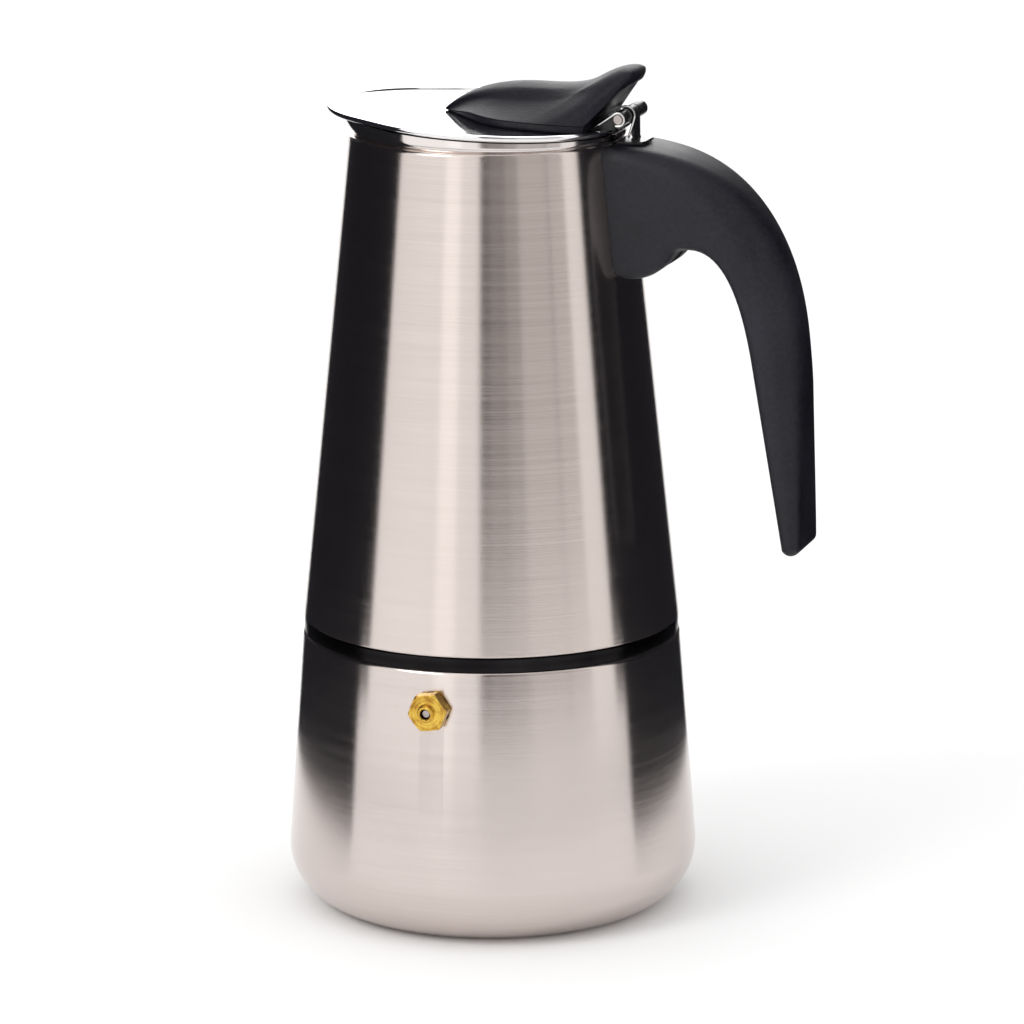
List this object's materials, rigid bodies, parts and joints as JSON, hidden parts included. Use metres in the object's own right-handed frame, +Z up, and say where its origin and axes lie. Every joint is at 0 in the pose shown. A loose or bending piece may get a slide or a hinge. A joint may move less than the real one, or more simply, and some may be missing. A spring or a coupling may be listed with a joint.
{
  "type": "stovetop moka pot",
  "caption": "Stainless stovetop moka pot: rounded boiler with brass safety valve, screwed-on conical jug, sprung beaked lid with thumb lever, and a hooked side handle.",
  "frame": {"origin": "on the pot's axis, in the plane it stands on", "axes": "+Z up along the pot's axis, +X towards the handle, -X towards the pouring beak, -Y towards the safety valve"},
  "size_m": [0.1365, 0.1074, 0.2185],
  "materials": {
    "brushed_steel": "circumferentially brushed stainless steel",
    "polished_steel": "mirror polished stainless steel",
    "plain_steel": "bright pressed stainless steel",
    "dark_steel": "glossy blackened steel",
    "bright_wire": "bright drawn spring steel",
    "brass": "turned brass",
    "piston_steel": "grey turned steel",
    "black_nylon": "fine-grained black nylon",
    "silicone": "translucent white silicone"
  },
  "bodies": {
    "boiler": {"boiler_base": "brushed_steel", "boiler_shell": "brushed_steel", "boiler_neck": "polished_steel", "valve_body": "brass", "valve_seat": "brass", "valve_nut": "brass", "valve_washers": "silicone", "valve_spring": "bright_wire", "funnel_cup": "plain_steel", "funnel_stem": "plain_steel", "funnel_strainer": "plain_steel"},
    "piston": {"valve_piston": "piston_steel"},
    "seal": {"gasket": "silicone", "filter_plate": "plain_steel"},
    "jug": {"jug_shell": "brushed_steel", "jug_thread_ring": "plain_steel", "jug_floor": "plain_steel", "coffee_column": "plain_steel", "column_cap": "plain_steel", "mouth_collar": "polished_steel", "handle_bracket": "plain_steel", "handle": "black_nylon", "handle_screw": "bright_wire", "hinge_bracket": "dark_steel", "hinge_pin": "bright_wire", "hinge_spring": "bright_wire"},
    "lid": {"lid_plate": "polished_steel", "lid_leaf": "dark_steel", "lid_knob": "black_nylon", "knob_base": "black_nylon", "knob_screws": "bright_wire"}
  },
  "joints": [
    {"name": "jug_lift", "type": "slide", "parent": "boiler", "child": "seal", "axis": [0, 0, 1], "range_m": [0, 0.0045]},
    {"name": "jug_turn", "type": "hinge", "parent": "seal", "child": "jug", "pos_m": [0, 0, 0.1], "axis": [0, 0, 1], "range_deg": [0, 540]},
    {"name": "lid_hinge", "type": "hinge", "parent": "jug", "child": "lid", "pos_m": [0.037, 0, 0.2063], "axis": [0, 1, 0], "range_deg": [0, 110], "stiffness_Nm_per_rad": 0.03, "springref_deg": -51.57, "deforming": ["hinge_spring"]},
    {"name": "valve_slide", "type": "slide", "parent": "boiler", "child": "piston", "axis": [0, -1, 0], "range_m": [0, 0.0015], "stiffness_N_per_m": 1500, "springref_m": -0.002, "deforming": ["valve_spring"]}
  ],
  "couplings": [
    {"joint": "jug_lift", "follows": "jug_turn", "m_per_rad": 0.00047746}
  ]
}
